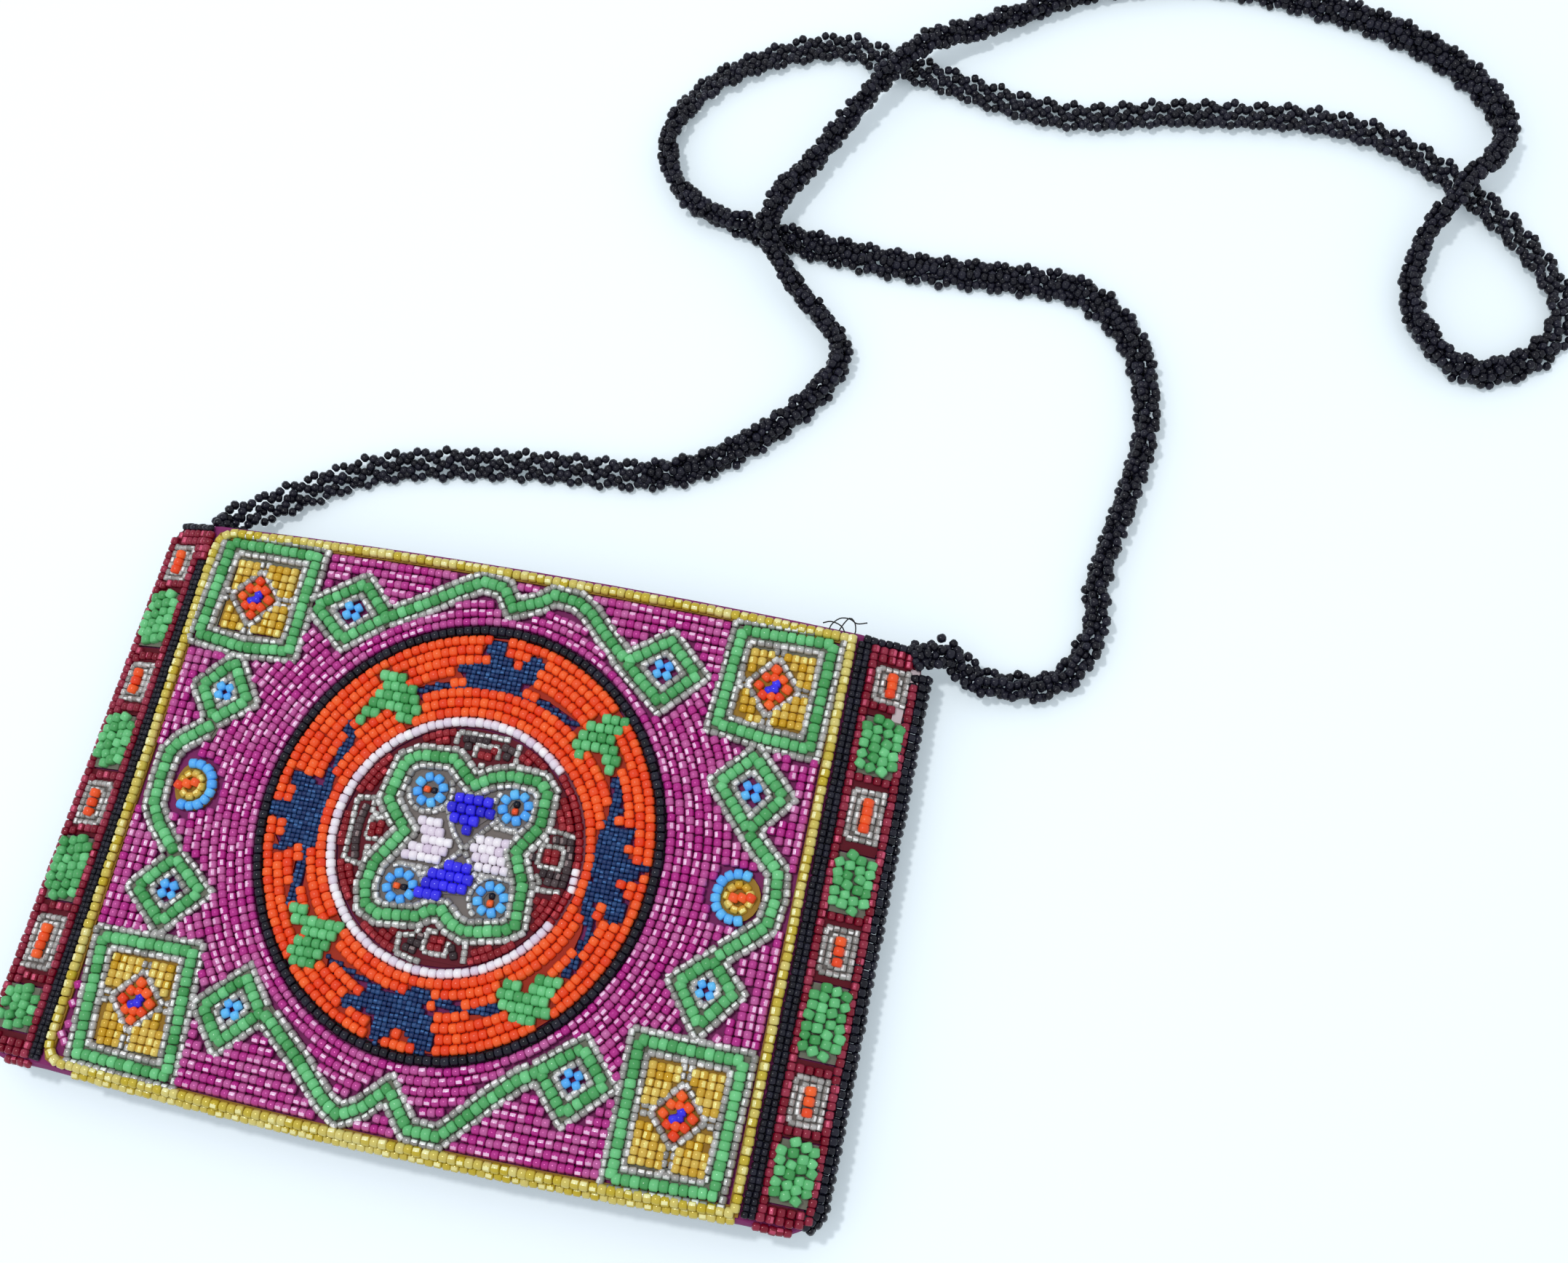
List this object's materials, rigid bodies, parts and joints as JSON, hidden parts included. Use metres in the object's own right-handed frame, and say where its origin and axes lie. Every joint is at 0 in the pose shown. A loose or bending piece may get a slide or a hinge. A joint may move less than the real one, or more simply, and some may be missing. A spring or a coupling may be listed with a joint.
{
  "type": "beaded belt bag",
  "caption": "Flat rectangular belt bag worked all over in rows of glass beads, with a zip in its top edge and a long netted bead strap.",
  "frame": {"origin": "middle of the bag's box without the strap, on the surface that the bag lies on", "axes": "+X to the right along the face, +Y to the edge with the zip and the strap, +Z out of the beaded face"},
  "size_m": [0.2659, 0.2636, 0.0133],
  "materials": {
    "cloth": "quilted cloth under rows of magenta glass beads",
    "backing": "plain black cotton",
    "green": "opaque glossy seed beads",
    "silver": "clear seed beads with a silver lining",
    "orange": "opaque glossy seed beads",
    "yellow": "amber seed beads with a silver lining",
    "red": "dark red seed beads",
    "black": "opaque glossy seed beads",
    "pink": "pearly pale pink seed beads",
    "navy": "very small dull beads",
    "blue": "opaque glossy seed beads",
    "brass": "worn metal"
  },
  "bodies": {
    "bag": {"back_panel": "backing", "band_left": "red", "band_right": "red", "black_line_left": "black", "black_line_right": "black", "border_yellow": "yellow", "corner_fill_bottom_left": "yellow", "corner_fill_bottom_right": "yellow", "corner_fill_top_left": "yellow", "corner_fill_top_right": "yellow", "corner_frame_bottom_left": "green", "corner_frame_bottom_right": "green", "corner_frame_top_left": "green", "corner_frame_top_right": "green", "edging_right": "black", "eye_left": "blue", "eye_right": "blue", "figure_bottom": "navy", "figure_left": "navy", "figure_right": "navy", "figure_top": "navy", "front_panel": "cloth", "green_block_left_1": "green", "green_block_left_2": "green", "green_block_left_3": "green", "green_block_left_4": "green", "green_block_right_1": "green", "green_block_right_2": "green", "green_block_right_3": "green", "green_block_right_4": "green", "lining": "backing", "quatrefoil": "green", "ring_black": "black", "ring_orange": "orange", "ring_pink": "pink", "rosette_ground": "red", "rosette_heart": "silver", "silver_block_left_1": "silver", "silver_block_left_2": "silver", "silver_block_left_3": "silver", "silver_block_left_4": "silver", "silver_block_right_1": "silver", "silver_block_right_2": "silver", "silver_block_right_3": "silver", "silver_block_right_4": "silver", "strap": "black", "strap_end_left": "black", "strap_end_right": "black", "vine_bottom": "green", "vine_left": "green", "vine_right": "green", "vine_top": "green", "zip_back": "black", "zip_front": "black"},
    "slider": {"zip_slider": "brass"},
    "pull": {"zip_pull": "brass"}
  },
  "joints": [
    {"name": "slider_slide", "type": "slide", "parent": "bag", "child": "slider", "axis": [-1, 0, 0], "range_m": [0, 0.105]},
    {"name": "pull_swing", "type": "hinge", "parent": "slider", "child": "pull", "pos_m": [0.05489, 0.052, 0.0056], "axis": [0, 0, -1], "range_deg": [0, 150]}
  ]
}
